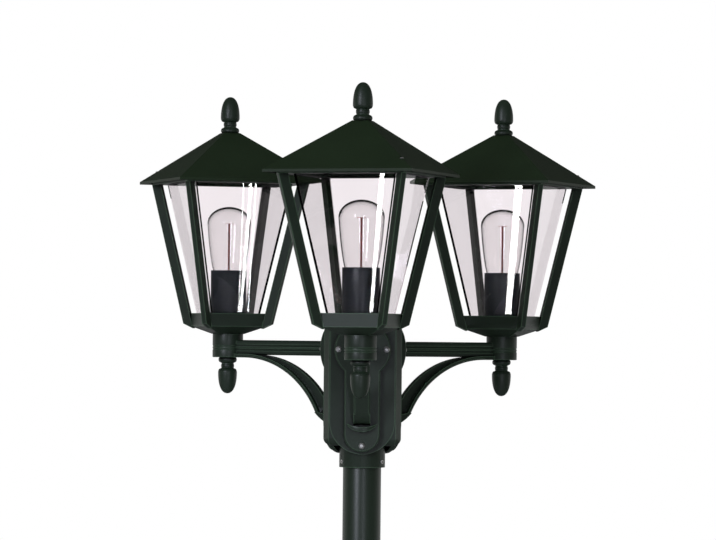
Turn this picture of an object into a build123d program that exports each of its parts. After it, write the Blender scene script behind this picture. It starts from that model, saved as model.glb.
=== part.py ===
from build123d import *
import math
import os

# Triple head lamp post: a round post that carries a three-sided hub, three arms at 120 degrees
# and a four-sided lantern on each arm. Millimetres, +Z up, origin on the post axis at the ground.
# Heights named *_z are above the arm axis. The arm model lies along +X and is turned into place.
# A lantern is drawn about its own axis with its corners on X and Y, then turned on its stud.

# Post and foot
arm_axis_height = 1900.0
post_radius = 30.0
post_wall = 2.5
foot_radius = 125.0
foot_thickness = 14.0
foot_socket_radius = 41.0
foot_socket_height = 85.0
foot_flare = 24.0
foot_seat = 6.0
foot_socket_round = 3.0
foot_bolt_circle_radius = 95.0
foot_bolt_hole_radius = 6.5
foot_bolt_count = 4
foot_cable_hole_radius = 16.0
foot_screw_height = 60.0

# Hub
facet_distance = 41.2
facet_half_width = 51.0
facet_thickness = 8.0
facet_step = 1.5
facet_bottom_z = -164.0
facet_top_z = 46.0
facet_shoulder_round = 20.0
hub_corner_radius = 65.4
hub_core_lift = 13.0
hub_core_round = 12.0
hub_cavity_radius = 26.0
hub_floor_z = -52.0
hub_floor_thickness = 6.0
hub_cable_hole_radius = 3.8
collar_radius = 36.0
collar_bottom_z = -185.0
collar_screw_z = -176.0
cap_plate_height = 3.0
cap_dome_height = 7.0
cap_margin = 2.0
cap_screw_radius = 2.0
cap_screw_head_radius = 3.8
cap_screw_head_height = 2.4
cap_screw_grip = 10.0
cap_screw_corner_distance = 47.0

# Arm casting
arm_reach = 254.0
plate_thickness = 12.5
plate_head_radius = 44.0
plate_body_half_width = 28.0
plate_bottom_z = -160.0
plate_edge_chamfer = 2.0
arm_bar_height = 23.7
arm_bar_lift = 0.65
arm_bar_width = 20.0
arm_bar_round = 4.0
arm_reed_radius = 1.6
arm_reed_spacing = 6.5
boss_radius = 24.5
boss_bottom_z = -15.5
boss_top_z = 22.0
boss_groove_radius = 0.9
boss_groove_spacing = 4.6
brace_width = 26.0
brace_web_width = 10.0
brace_flange_thickness = 6.0
brace_flange_chamfer = 2.5
brace_radius = 147.6
brace_arc_start = 215.0
brace_foot_z = -100.0
brace_toe = (73.2, -108.0)
brace_toe_z = -114.5
brace_root_z = -104.6
brace_mid = (120.0, -30.4)
brace_tip = 184.0
ledge_half_width = 23.0
ledge_depth = 10.0
ledge_sag = 5.0
ledge_height = 7.0
ledge_end_z = -116.0
ledge_end_slant = 2.0
ledge_plan_radius = 37.0

# Fasteners
plate_screw_radius = 2.5
plate_screw_head_radius = 4.8
plate_screw_head_height = 3.2
plate_screw_grip = 6.0
plate_screw_side = 37.5
plate_screw_low_z = -150.0
set_screw_radius = 3.0
set_screw_stand = 1.2
roof_screw_radius = 2.0
roof_screw_head_radius = 3.2
roof_screw_head_height = 2.0
roof_screw_grip = 12.0
roof_screw_edge = 7.5
roof_screw_pocket_gap = 0.4
roof_boss_radius = 5.4
stud_radius = 5.0
stud_rise = 3.0
stud_engagement = 12.0
nut_across_flats = 17.0
nut_height = 6.0

# Acorn finial, used upright on the roofs and hanging under the bosses
finial_height = 58.0
finial_ring_radius = 14.8
finial_ring_edge = 1.5
finial_ring_height = 7.4
finial_neck_radius = 9.8
finial_neck_low = 9.2
finial_neck_high = 10.2
finial_bead_radius = 10.5
finial_bead_high = 17.2
finial_cup_radius = 13.2
finial_cup_z = 18.6
finial_acorn_radius = 15.2
finial_acorn_widest_z = 24.2
finial_acorn_fullness = 0.58
finial_tip_fullness = 0.68
finial_spigot_radius = 5.0
finial_spigot_length = 5.0

# Lantern
dish_bottom_margin = 5.0
band_bottom_rise = 12.0
band_height = 21.0
band_corner_radius = 69.0
band_wall = 6.0
base_floor_rise = 13.0
rib_width = 8.0
rib_height = 207.5
rib_foot_depth = 17.5
rib_foot_bite = 6.5
rib_foot_outer_rise = 4.0
rib_foot_inner_drop = 3.5
rib_head_depth = 16.0
rib_head_outer = 140.4
pane_thickness = 3.0
pane_foot_set_back = 9.5
pane_top_set_back = 10.6
pane_top_gap = 0.4
pane_corner_gap = 0.4
top_ring_height = 4.0
top_ring_margin = 1.5
top_ring_width = 34.0
roof_seat_height = 3.5
roof_overhang = 25.1
roof_rim_lift = 1.0
roof_lip = 4.2
roof_rise = 81.5
roof_top_corner_radius = 18.0
roof_wall = 2.5
roof_crown = 6.0

# Lampholder and bulb
sleeve_radius = 28.5
sleeve_wall = 2.0
sleeve_height = 89.0
holder_radius = 22.0
holder_height = 53.0
holder_skirt_height = 15.0
holder_skirt_wall = 3.0
holder_web = 3.0
cap_radius = 13.2
cap_length = 26.0
cap_contact_radius = 5.0
cap_contact_height = 3.0
bulb_height = 144.0
bulb_radius = 35.0
bulb_sleeve_gap = 1.2
bulb_neck_radius = 12.6
bulb_neck_length = 10.0
bulb_wall = 1.0
stem_radius = 1.4
stem_foot_radius = 6.0
stem_foot_height = 24.0
stem_height = 117.0
filament_radius = 0.6
filament_offset = 3.0
filament_bar_length = 15.0

# Wiring
wire_bore_radius = 3.4
wire_offset = 14.0
block_half_width = 13.0
block_height = 58.0
block_groove = 1.5

# Clearances
slip_gap = 0.2
thread_gap = 0.05
turn_gap = 0.3

# Directions, in degrees about the post axis
arm_angles = {"front": -90.0, "left": 150.0, "right": 30.0}
hub_corner_angles = [angle + 180.0 for angle in arm_angles.values()]
lantern_turns = {"front": 27.0, "left": 5.0, "right": -6.0}
rib_angles = [90.0 * corner for corner in range(4)]
roof_screw_angles = rib_angles[::2]

# Levels and radii that follow from the sizes above
flat_per_corner = math.cos(math.radians(45.0))
socket_radius = post_radius + slip_gap
plate_face = facet_distance + plate_thickness
arm_bar_bottom_z = arm_bar_lift - arm_bar_height / 2
band_bottom_z = boss_top_z + band_bottom_rise
band_top_z = band_bottom_z + band_height
base_floor_z = boss_top_z + base_floor_rise
rib_top_z = band_top_z + rib_height
rib_foot_inner = band_corner_radius - rib_foot_bite
rib_foot_outer = rib_foot_inner + rib_foot_depth
rib_head_inner = rib_head_outer - rib_head_depth
pane_foot_corner_radius = rib_foot_inner - pane_foot_set_back
pane_top_corner_radius = rib_head_inner - pane_top_set_back
ring_top_z = rib_top_z + top_ring_height
ring_outer = rib_head_outer + top_ring_margin
roof_seat_z = ring_top_z + roof_seat_height
roof_rim_radius = rib_head_outer + roof_overhang
roof_rim_z = rib_top_z + roof_rim_lift
roof_lip_z = roof_rim_z + roof_lip
roof_top_z = roof_rim_z + roof_rise
roof_slope = (roof_top_z - roof_lip_z) / (roof_rim_radius - roof_top_corner_radius)
roof_screw_distance = rib_head_outer - roof_screw_edge
roof_screw_rim = roof_rim_radius - roof_screw_distance - roof_screw_head_radius
roof_screw_seat_z = roof_lip_z + roof_slope * roof_screw_rim
holder_top_z = base_floor_z + holder_height
cap_bottom_z = base_floor_z + holder_skirt_height + holder_web + turn_gap
cap_top_z = cap_bottom_z + cap_contact_height + cap_length
sleeve_top_z = base_floor_z + sleeve_height
bulb_shoulder_radius = sleeve_radius - sleeve_wall - bulb_sleeve_gap


def rod(radius, low, high):
    """Solid round bar about Z from height low to height high."""
    return Pos(0, 0, (low + high) / 2) * Cylinder(radius, high - low)


def tube(outer, inner, low, high):
    """Round tube about Z."""
    return rod(outer, low, high) - rod(inner, low, high)


def square(corner_radius, height):
    """Square face with its corners on X and Y."""
    return Pos(0, 0, height) * RegularPolygon(corner_radius, 4)


def square_prism(corner_radius, low, high):
    """Square prism about Z."""
    return extrude(square(corner_radius, low), high - low)


def square_stack(sections):
    """Four-sided solid through (corner radius, height) sections, straight between them."""
    pieces = [
        loft([square(*lower), square(*upper)], ruled=True)
        for lower, upper in zip(sections, sections[1:])
    ]
    solid = pieces[0]
    for piece in pieces[1:]:
        solid += piece
    return solid


def around(shape, angles):
    """Copies of a shape turned about Z."""
    return [Rot(0, 0, angle) * shape for angle in angles]


def domed_screw(radius, head_radius, head_height, length):
    """Screw along Z with its domed head above z = 0 and its shank below."""
    dome_radius = (head_radius**2 + head_height**2) / (2 * head_height)
    dome = Pos(0, 0, head_height - dome_radius) * Sphere(dome_radius)
    head = dome & rod(head_radius, 0, head_height)
    driver = Pos(0, 0, head_height) * RegularPolygon(head_radius * 0.42, 6)
    return head + rod(radius, -length, 0) - extrude(driver, -head_height * 0.5)


def finial():
    """Acorn finial standing on z = 0, without its spigot."""
    edge = finial_ring_radius - finial_ring_edge
    widest = (finial_acorn_radius, finial_acorn_widest_z)
    acorn_rise = finial_height - finial_acorn_widest_z
    with BuildPart() as body:
        with BuildSketch(Plane.XZ):
            with BuildLine():
                Line((0, 0), (edge, 0))
                ThreePointArc(
                    (edge, 0), (finial_ring_radius, finial_ring_height / 2), (edge, finial_ring_height)
                )
                Line((edge, finial_ring_height), (finial_neck_radius, finial_neck_low))
                Line((finial_neck_radius, finial_neck_low), (finial_neck_radius, finial_neck_high))
                ThreePointArc(
                    (finial_neck_radius, finial_neck_high),
                    (finial_bead_radius, (finial_neck_high + finial_bead_high) / 2),
                    (finial_neck_radius, finial_bead_high),
                )
                Line((finial_neck_radius, finial_bead_high), (finial_cup_radius, finial_cup_z))
                TangentArc(widest, (finial_cup_radius, finial_cup_z), tangent=(0, -1))
                Bezier(
                    widest,
                    (finial_acorn_radius, finial_acorn_widest_z + finial_acorn_fullness * acorn_rise),
                    (finial_acorn_radius * finial_tip_fullness, finial_height),
                    (0, finial_height),
                )
                Line((0, finial_height), (0, 0))
            make_face()
        revolve(axis=Axis.Z)
    return body.part


def post_tube():
    return tube(post_radius, post_radius - post_wall, foot_seat, arm_axis_height + hub_floor_z)


def foot_casting():
    flange = rod(foot_radius, 0, foot_thickness)
    flange = fillet(flange.edges().group_by(Axis.Z)[-1], foot_thickness * 0.4)
    flare_top = foot_thickness + foot_flare
    flare = Pos(0, 0, (foot_thickness + flare_top) / 2) * Cone(
        foot_socket_radius + foot_flare, foot_socket_radius, foot_flare
    )
    body = flange + flare + rod(foot_socket_radius, foot_thickness, foot_socket_height)
    body = fillet(body.edges().group_by(Axis.Z)[-1], foot_socket_round)
    body -= rod(socket_radius, foot_seat, foot_socket_height)
    body -= rod(foot_cable_hole_radius, 0, foot_seat)
    for bolt in range(foot_bolt_count):
        spot = Rot(0, 0, 45 + bolt * 360 / foot_bolt_count) * Pos(foot_bolt_circle_radius, 0, 0)
        body -= spot * rod(foot_bolt_hole_radius, 0, foot_thickness)
    hole = radial_rod(set_screw_radius + thread_gap, post_radius, foot_socket_radius, foot_screw_height)
    for copy in around(hole, hub_corner_angles):
        body -= copy
    return body


def radial_rod(radius, start, end, height):
    """Round bar along +X between two distances from the post axis."""
    return Pos((start + end) / 2, 0, height) * Rot(0, 90, 0) * Cylinder(radius, end - start)


def set_screws(outer_radius, height):
    """Three grub screws that bear on the post."""
    start = post_radius + turn_gap
    end = outer_radius + set_screw_stand
    screw = radial_rod(set_screw_radius, start, end, height)
    socket = Pos(end, 0, height) * Rot(0, 90, 0) * RegularPolygon(set_screw_radius * 0.55, 6)
    screw -= extrude(socket, -set_screw_radius)
    return Compound(children=around(screw, hub_corner_angles))


def hub_section(growth=0.0):
    """Triangle with cut corners, flats facing the arms, grown on every side."""
    flats = RegularPolygon(facet_distance - facet_step + growth, 3, major_radius=False, rotation=90)
    corners = RegularPolygon(hub_corner_radius + growth, 3, major_radius=False, rotation=-90)
    return flats & corners


def shield(half_width, bottom, top, shoulder):
    """Upright outline with a round bottom and rounded shoulders."""
    middle = bottom + half_width
    outline = Pos(0, middle) * Circle(half_width)
    block = Pos(0, (middle + top) / 2) * Rectangle(2 * half_width, top - middle)
    return outline + fillet(block.vertices().group_by(Axis.Y)[-1], shoulder)


def slab(outline, start, end):
    """Upright outline as a plate square to the arm, between two distances from the post axis."""
    return Pos(start, 0, 0) * extrude(Plane.YZ * outline, end - start)


def hub_facet():
    """Raised panel on one flat side of the hub, hanging below it."""
    panel = shield(facet_half_width, facet_bottom_z, facet_top_z, facet_shoulder_round)
    return slab(panel, facet_distance - facet_thickness, facet_distance)


def plate_screw_spots():
    """Where the screws of one arm plate go, seen along the arm."""
    return [(-plate_screw_side, 0.0), (plate_screw_side, 0.0), (0.0, plate_screw_low_z)]


def hub_casting():
    low = facet_bottom_z + hub_core_lift
    core = extrude(Pos(0, 0, low) * hub_section(), facet_top_z - low)
    core = fillet(core.edges().group_by(Axis.Z)[0], hub_core_round)
    body = core + rod(collar_radius, collar_bottom_z, low + hub_core_lift)
    for angle in arm_angles.values():
        body += Rot(0, 0, angle) * hub_facet()
    body -= rod(socket_radius, collar_bottom_z, hub_floor_z)
    body -= rod(hub_cavity_radius, hub_floor_z + hub_floor_thickness, facet_top_z)
    cable_hole = Pos(hub_cavity_radius - 1.4 * hub_cable_hole_radius, 0, 0) * rod(
        hub_cable_hole_radius, hub_floor_z, hub_floor_z + hub_floor_thickness
    )
    grub_hole = radial_rod(set_screw_radius + thread_gap, post_radius, collar_radius, collar_screw_z)
    cap_hole = Pos(cap_screw_corner_distance, 0, 0) * rod(
        cap_screw_radius + thread_gap, facet_top_z - cap_screw_grip, facet_top_z
    )
    for angle in hub_corner_angles:
        body -= Rot(0, 0, angle) * (cable_hole + grub_hole + cap_hole)
    for angle in arm_angles.values():
        body -= Rot(0, 0, angle) * radial_rod(wire_bore_radius, 0, facet_distance, 0)
        for side, height in plate_screw_spots():
            start = facet_distance - plate_screw_grip
            hole = radial_rod(plate_screw_radius + thread_gap, start, facet_distance, height)
            body -= Rot(0, 0, angle) * Pos(0, side, 0) * hole
    return body


def hub_cap():
    plate = extrude(Pos(0, 0, facet_top_z) * hub_section(facet_step + cap_margin), cap_plate_height)
    plate = chamfer(plate.edges().group_by(Axis.Z)[-1], cap_plate_height * 0.4)
    top = facet_top_z + cap_plate_height
    dome_radius = (hub_cavity_radius**2 + cap_dome_height**2) / (2 * cap_dome_height)
    dome = Pos(0, 0, top + cap_dome_height - dome_radius) * Sphere(dome_radius)
    body = plate + (dome & rod(hub_cavity_radius, top, top + cap_dome_height))
    for angle in hub_corner_angles:
        hole = Pos(cap_screw_corner_distance, 0, 0) * rod(cap_screw_radius + slip_gap, facet_top_z, top)
        body -= Rot(0, 0, angle) * hole
    return body


def cap_screws():
    screw = domed_screw(
        cap_screw_radius, cap_screw_head_radius, cap_screw_head_height, cap_plate_height + cap_screw_grip
    )
    placed = Pos(cap_screw_corner_distance, 0, facet_top_z + cap_plate_height) * screw
    return Compound(children=around(placed, hub_corner_angles))


def terminal_block():
    low = hub_floor_z + hub_floor_thickness
    width = 2 * block_half_width
    block = Pos(0, 0, low + block_height / 2) * Box(width, width, block_height)
    for row in (-1, 0, 1):
        spot = Pos(row * block_half_width * 0.62, 0, low + block_height)
        block -= spot * Box(block_groove * 2, width, block_groove * 2)
        block -= Pos(row * block_half_width * 0.62, 0, 0) * rod(
            block_groove * 1.6, low + block_height * 0.8, low + block_height
        )
    return block


def keyhole():
    """Outline of an arm plate: round head, straight body, round bottom."""
    middle = plate_bottom_z + plate_body_half_width
    body = Pos(0, middle / 2) * Rectangle(2 * plate_body_half_width, -middle)
    return Circle(plate_head_radius) + body + Pos(0, middle) * Circle(plate_body_half_width)


def arm_plate():
    plate = slab(keyhole(), facet_distance, plate_face)
    return chamfer(plate.edges().group_by(Axis.X)[-1], plate_edge_chamfer)


def arm_bar():
    length = arm_reach - facet_distance - plate_thickness / 2
    bar = Box(length, arm_bar_width, arm_bar_height)
    bar = fillet(bar.edges().filter_by(Axis.X), arm_bar_round)
    for side in (-1, 1):
        for row in (-1, 1):
            spot = Pos(0, side * arm_bar_width / 2, row * arm_reed_spacing / 2)
            bar -= spot * Rot(0, 90, 0) * Cylinder(arm_reed_radius, length)
    return Pos(arm_reach - length / 2, 0, arm_bar_lift) * bar


def arm_boss():
    boss = rod(boss_radius, boss_bottom_z, boss_top_z)
    boss = chamfer(boss.edges().group_by(Axis.Z)[0], 1.0)
    for row in (-1, 1):
        boss -= Pos(0, 0, row * boss_groove_spacing / 2) * Torus(boss_radius, boss_groove_radius)
    return Pos(arm_reach, 0, 0) * boss


def upright_plate(outline, width):
    """Outline in the plane of the arm, given as a wire, made into a plate centred on that plane."""
    return extrude(make_face(Plane.XZ * outline), width / 2, both=True)


def brace_point(radius, height):
    """Point at a height on a circle about the brace's centre, on the side of the post."""
    drop = height - (boss_bottom_z - brace_radius)
    return brace_arc_start - math.sqrt(radius**2 - drop**2), height


def brace_arc(radius, height):
    """Arc about the brace's centre, from straight above it down to a height near the post."""
    centre_z = boss_bottom_z - brace_radius
    low = brace_point(radius, height)
    low_angle = math.atan2(low[1] - centre_z, low[0] - brace_arc_start)
    mid_angle = (math.pi / 2 + low_angle) / 2
    middle = (
        brace_arc_start + radius * math.cos(mid_angle), centre_z + radius * math.sin(mid_angle)
    )
    return ThreePointArc((brace_arc_start, centre_z + radius), middle, low)


def brace_flange():
    """Curved flange along the hollow edge of the brace, with its lower edges chamfered."""
    high_radius = brace_radius + brace_flange_thickness
    outline = Curve() + [
        brace_arc(brace_radius, brace_foot_z),
        Line(brace_point(brace_radius, brace_foot_z), brace_point(high_radius, brace_foot_z)),
        brace_arc(high_radius, brace_foot_z),
        Line((brace_arc_start, boss_bottom_z + brace_flange_thickness), (brace_arc_start, boss_bottom_z)),
    ]
    flange = upright_plate(outline, brace_width)
    arcs = flange.edges().filter_by(GeomType.CIRCLE)
    hollow = [edge for edge in arcs if edge.radius < high_radius - slip_gap]
    return chamfer(hollow, brace_flange_chamfer)


def brace():
    """Curved bracket under the arm: a web, its flange, a foot on the plate and a shoe on the boss."""
    low = brace_point(brace_radius, brace_foot_z)
    high = brace_point(brace_radius + brace_flange_thickness, brace_foot_z)
    inside = facet_distance + plate_thickness / 2
    foot_z = ledge_end_z - ledge_sag
    toe_end = (plate_face + ledge_depth, brace_toe_z)
    web = Curve() + [
        brace_arc(brace_radius, brace_foot_z),
        Line(low, (inside, foot_z)),
        Line((inside, foot_z), (inside, brace_root_z)),
        Line((inside, brace_root_z), (plate_face, brace_root_z)),
        ThreePointArc((plate_face, brace_root_z), brace_mid, (brace_tip, arm_bar_bottom_z)),
        Line((brace_tip, arm_bar_bottom_z), (brace_arc_start, arm_bar_bottom_z)),
        Line((brace_arc_start, arm_bar_bottom_z), (brace_arc_start, boss_bottom_z)),
    ]
    foot = Curve() + [
        ThreePointArc(low, brace_toe, toe_end),
        Line(toe_end, (inside, foot_z)),
        Line((inside, foot_z), (inside, brace_root_z)),
        Line((inside, brace_root_z), (plate_face, brace_root_z)),
        Line((plate_face, brace_root_z), high),
        Line(high, low),
    ]
    shoe_length = arm_reach - brace_arc_start
    shoe = Pos(brace_arc_start + shoe_length / 2, 0, boss_bottom_z + brace_flange_thickness / 2) * Box(
        shoe_length, brace_width, brace_flange_thickness
    )
    body = upright_plate(web, brace_web_width) + brace_flange()
    return body + upright_plate(foot, brace_width) + shoe


def ledge():
    """Curved lip across the plate under the foot of the brace, round in plan as well."""
    low_half = ledge_half_width - ledge_end_slant
    low_z = ledge_end_z - ledge_height * 0.6
    outline = Curve() + [
        ThreePointArc(
            (-ledge_half_width, ledge_end_z), (0, ledge_end_z - ledge_sag), (ledge_half_width, ledge_end_z)
        ),
        Line((ledge_half_width, ledge_end_z), (low_half, low_z)),
        ThreePointArc(
            (low_half, low_z), (0, ledge_end_z - ledge_sag - ledge_height), (-low_half, low_z)
        ),
        Line((-low_half, low_z), (-ledge_half_width, ledge_end_z)),
    ]
    start = facet_distance + plate_thickness / 2
    end = plate_face + ledge_depth
    reach = ledge_sag + 2 * ledge_height
    front = rod(ledge_plan_radius, ledge_end_z - reach, ledge_end_z + reach)
    return slab(make_face(outline), start, end) & Pos(end - ledge_plan_radius, 0, 0) * front


def arm_casting():
    body = arm_plate() + arm_bar() + arm_boss() + brace() + ledge()
    body -= radial_rod(wire_bore_radius, facet_distance, arm_reach - wire_offset, 0)
    wire_rise = Pos(arm_reach - wire_offset, 0, 0) * rod(wire_bore_radius, 0, boss_top_z)
    stud_hole = Pos(arm_reach, 0, 0) * rod(stud_radius + slip_gap, boss_bottom_z, boss_top_z)
    body -= wire_rise + stud_hole
    hole_radius = plate_screw_radius + slip_gap
    for side, height in plate_screw_spots():
        body -= Pos(0, side, 0) * radial_rod(hole_radius, facet_distance, plate_face, height)
    return body


def plate_screws():
    length = plate_thickness + plate_screw_grip
    screw = domed_screw(plate_screw_radius, plate_screw_head_radius, plate_screw_head_height, length)
    screws = []
    for angle in arm_angles.values():
        for side, height in plate_screw_spots():
            screws.append(Rot(0, 0, angle) * Pos(plate_face, side, height) * Rot(0, 90, 0) * screw)
    return Compound(children=screws)


def pendant():
    body = Pos(0, 0, boss_bottom_z) * Rot(180, 0, 0) * finial()
    return body - rod(stud_radius + thread_gap, boss_bottom_z - stud_engagement, boss_bottom_z)


def stud():
    top = base_floor_z + nut_height + stud_rise
    return rod(stud_radius, boss_bottom_z - stud_engagement, top)


def stud_nuts():
    nut = extrude(
        Pos(0, 0, base_floor_z) * RegularPolygon(nut_across_flats / 2, 6, major_radius=False), nut_height
    )
    nut -= rod(stud_radius + thread_gap, base_floor_z, base_floor_z + nut_height)
    return Compound(children=around(Pos(arm_reach, 0, 0) * nut, arm_angles.values()))


def lantern_ribs():
    """Four upright fins at the corners, let into the base and carrying the top ring."""
    profile = Polyline(
        (rib_foot_outer, band_bottom_z + rib_foot_outer_rise),
        (rib_head_outer, rib_top_z),
        (rib_head_inner, rib_top_z),
        (rib_foot_inner, band_bottom_z - rib_foot_inner_drop),
        close=True,
    )
    rib = upright_plate(profile, rib_width)
    screw_hole = Pos(roof_screw_distance, 0, 0) * rod(
        roof_screw_radius + slip_gap, rib_top_z - roof_screw_grip - turn_gap, rib_top_z
    )
    ribs = []
    for angle in rib_angles:
        body = rib - screw_hole if angle in roof_screw_angles else rib
        ribs.append(Rot(0, 0, angle) * body)
    return ribs


def lantern_base(turn):
    """Shallow dish with an upright band, whose wire hole meets the arm's at this turn."""
    body = square_stack(
        [
            (boss_radius + dish_bottom_margin, boss_top_z),
            (band_corner_radius, band_bottom_z),
            (band_corner_radius, band_top_z),
        ]
    )
    body -= square_prism(band_corner_radius - band_wall, base_floor_z, band_top_z)
    body -= rod(stud_radius + slip_gap, boss_top_z, base_floor_z)
    wire_hole = Pos(-wire_offset, 0, 0) * rod(wire_bore_radius, boss_top_z, base_floor_z)
    body -= Rot(0, 0, -turn) * wire_hole
    for rib in lantern_ribs():
        body -= rib
    return body


def glass_panes():
    """Four sloping panes that stand in the base inside the ribs, mitred where they meet."""
    top = rib_top_z - pane_top_gap
    inset = pane_thickness / flat_per_corner
    shell = square_stack([(pane_foot_corner_radius, base_floor_z), (pane_top_corner_radius, top)])
    shell -= square_stack(
        [(pane_foot_corner_radius - inset, base_floor_z), (pane_top_corner_radius - inset, top)]
    )
    for angle in rib_angles[:2]:
        shell -= Rot(0, 0, angle) * Box(3 * ring_outer, pane_corner_gap, 3 * rib_top_z)
    return Compound(children=list(shell.solids()))


def top_ring():
    """Square ring on the rib heads that covers the panes' tops, with two seats for the roof."""
    ring = square_prism(ring_outer, rib_top_z, ring_top_z)
    ring -= square_prism(ring_outer - top_ring_width, rib_top_z, ring_top_z)
    for angle in roof_screw_angles:
        spot = Rot(0, 0, angle) * Pos(roof_screw_distance, 0, 0)
        ring += spot * rod(roof_boss_radius, rib_top_z, roof_seat_z)
        ring -= spot * rod(roof_screw_radius + slip_gap, rib_top_z, roof_seat_z)
    return ring


def roof():
    """Four-sided roof shell with an upright lip, screw bosses and a threaded crown."""
    outer = square_stack(
        [
            (roof_rim_radius, roof_rim_z),
            (roof_rim_radius, roof_lip_z),
            (roof_top_corner_radius, roof_top_z),
        ]
    )
    rim_inner = roof_rim_radius - roof_wall / flat_per_corner
    skin_height = roof_wall * math.hypot(1.0, roof_slope / flat_per_corner)
    rim_inner_z = roof_lip_z + roof_slope * (roof_rim_radius - rim_inner) - skin_height
    crown_z = roof_top_z - roof_crown
    crown_radius = rim_inner - (crown_z - rim_inner_z) / roof_slope
    inner = square_stack([(rim_inner, roof_rim_z), (rim_inner, rim_inner_z), (crown_radius, crown_z)])
    body = outer - inner
    for angle in roof_screw_angles:
        spot = Rot(0, 0, angle) * Pos(roof_screw_distance, 0, 0)
        body += outer & (spot * rod(roof_boss_radius, roof_seat_z, roof_top_z))
        body -= spot * rod(roof_screw_radius + slip_gap, roof_seat_z, roof_top_z)
        body -= spot * rod(roof_screw_head_radius + roof_screw_pocket_gap, roof_screw_seat_z, roof_top_z)
    return body - rod(finial_spigot_radius + thread_gap, crown_z, roof_top_z)


def roof_screws():
    length = roof_screw_seat_z - rib_top_z + roof_screw_grip
    screw = domed_screw(roof_screw_radius, roof_screw_head_radius, roof_screw_head_height, length)
    placed = Pos(roof_screw_distance, 0, roof_screw_seat_z) * screw
    return Compound(children=around(placed, roof_screw_angles))


def roof_finial():
    return Pos(0, 0, roof_top_z) * (finial() + rod(finial_spigot_radius, -finial_spigot_length, 0))


def lamp_sleeve():
    return tube(sleeve_radius, sleeve_radius - sleeve_wall, base_floor_z, sleeve_top_z)


def lampholder():
    body = rod(holder_radius, base_floor_z, holder_top_z)
    skirt_top = base_floor_z + holder_skirt_height
    body -= rod(holder_radius - holder_skirt_wall, base_floor_z, skirt_top)
    return body - rod(cap_radius + thread_gap, skirt_top + holder_web, holder_top_z)


def bulb_cap():
    low = cap_bottom_z + cap_contact_height
    return rod(cap_contact_radius, cap_bottom_z, low) + rod(cap_radius, low, cap_top_z)


def bulb_envelope(shrink):
    """Solid bulb shape, drawn in by a distance."""
    radius = bulb_radius - shrink
    neck = bulb_neck_radius - shrink
    centre_z = cap_top_z + bulb_height - bulb_radius
    neck_top = (neck, cap_top_z + bulb_neck_length)
    with BuildPart() as body:
        with BuildSketch(Plane.XZ):
            with BuildLine():
                Line((0, cap_top_z), (neck, cap_top_z))
                Line((neck, cap_top_z), neck_top)
                Spline(
                    neck_top,
                    (bulb_shoulder_radius - shrink, sleeve_top_z),
                    (radius, centre_z),
                    tangents=[(0, 1), (0, 1)],
                )
                CenterArc((0, centre_z), radius, 0, 90)
                Line((0, centre_z + radius), (0, cap_top_z))
            make_face()
        revolve(axis=Axis.Z)
    return body.part


def bulb_filament():
    """Thin wire run up both sides of the stem, joined by a bar across its top."""
    top = cap_top_z + stem_height + filament_radius
    low = cap_top_z + stem_foot_height / 2
    legs = [Pos(0, side * filament_offset, 0) * rod(filament_radius, low, top) for side in (-1, 1)]
    bar = Pos(0, 0, top) * Rot(90, 0, 0) * Cylinder(filament_radius, filament_bar_length)
    return legs[0] + legs[1] + bar


def bulb_stem():
    """Glass mount that carries the filament up the middle of the bulb."""
    low = cap_top_z
    foot = Pos(0, 0, low + stem_foot_height / 2) * Cone(stem_foot_radius, stem_radius, stem_foot_height)
    return foot + rod(stem_radius, low, low + stem_height) - bulb_filament()


def on_arm(shape, side):
    """Shape drawn about the lantern's own axis, turned on its stud and moved to the end of an arm."""
    turned = Rot(0, 0, lantern_turns[side]) * shape
    return Rot(0, 0, arm_angles[side]) * Pos(arm_reach, 0, arm_axis_height) * turned


def at_hub(shape):
    return Pos(0, 0, arm_axis_height) * shape


os.makedirs("parts", exist_ok=True)

common = {
    "post_tube": post_tube(),
    "foot_casting": foot_casting(),
    "foot_set_screws": set_screws(foot_socket_radius, foot_screw_height),
    "hub_casting": at_hub(hub_casting()),
    "hub_cap": at_hub(hub_cap()),
    "hub_cap_screws": at_hub(cap_screws()),
    "collar_set_screws": at_hub(set_screws(collar_radius, collar_screw_z)),
    "terminal_block": at_hub(terminal_block()),
    "arm_plate_screws": at_hub(plate_screws()),
    "stud_nuts": at_hub(stud_nuts()),
}
for name, shape in common.items():
    export_step(shape, f"parts/{name}.step")

lantern_pieces = {
    "pendant_finial": pendant(),
    "lantern_stud": stud(),
    "lantern_ribs": Compound(children=lantern_ribs()),
    "glass_panes": glass_panes(),
    "top_ring": top_ring(),
    "roof": roof(),
    "roof_screws": roof_screws(),
    "roof_finial": roof_finial(),
    "lamp_sleeve": lamp_sleeve(),
    "lampholder": lampholder(),
    "bulb_cap": bulb_cap(),
    "bulb_glass": bulb_envelope(0) - bulb_envelope(bulb_wall),
    "bulb_stem": bulb_stem(),
    "bulb_filament": bulb_filament(),
}
casting = arm_casting()
for side, angle in arm_angles.items():
    export_step(at_hub(Rot(0, 0, angle) * casting), f"parts/arm_casting_{side}.step")
    base = lantern_base(lantern_turns[side])
    export_step(on_arm(base, side), f"parts/lantern_base_{side}.step")
    for name, shape in lantern_pieces.items():
        export_step(on_arm(shape, side), f"parts/{name}_{side}.step")
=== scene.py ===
"""Looks for a triple head lamp post: painted castings, glazed lanterns, clear bulbs and a pale studio.

Run as a script in Blender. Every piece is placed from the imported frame, in metres, +Z up, with the front
lantern towards -Y.
"""

import math

import bmesh
import bpy
from bpy.props import FloatProperty, FloatVectorProperty, IntProperty, PointerProperty
from mathutils import Matrix, Vector


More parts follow.
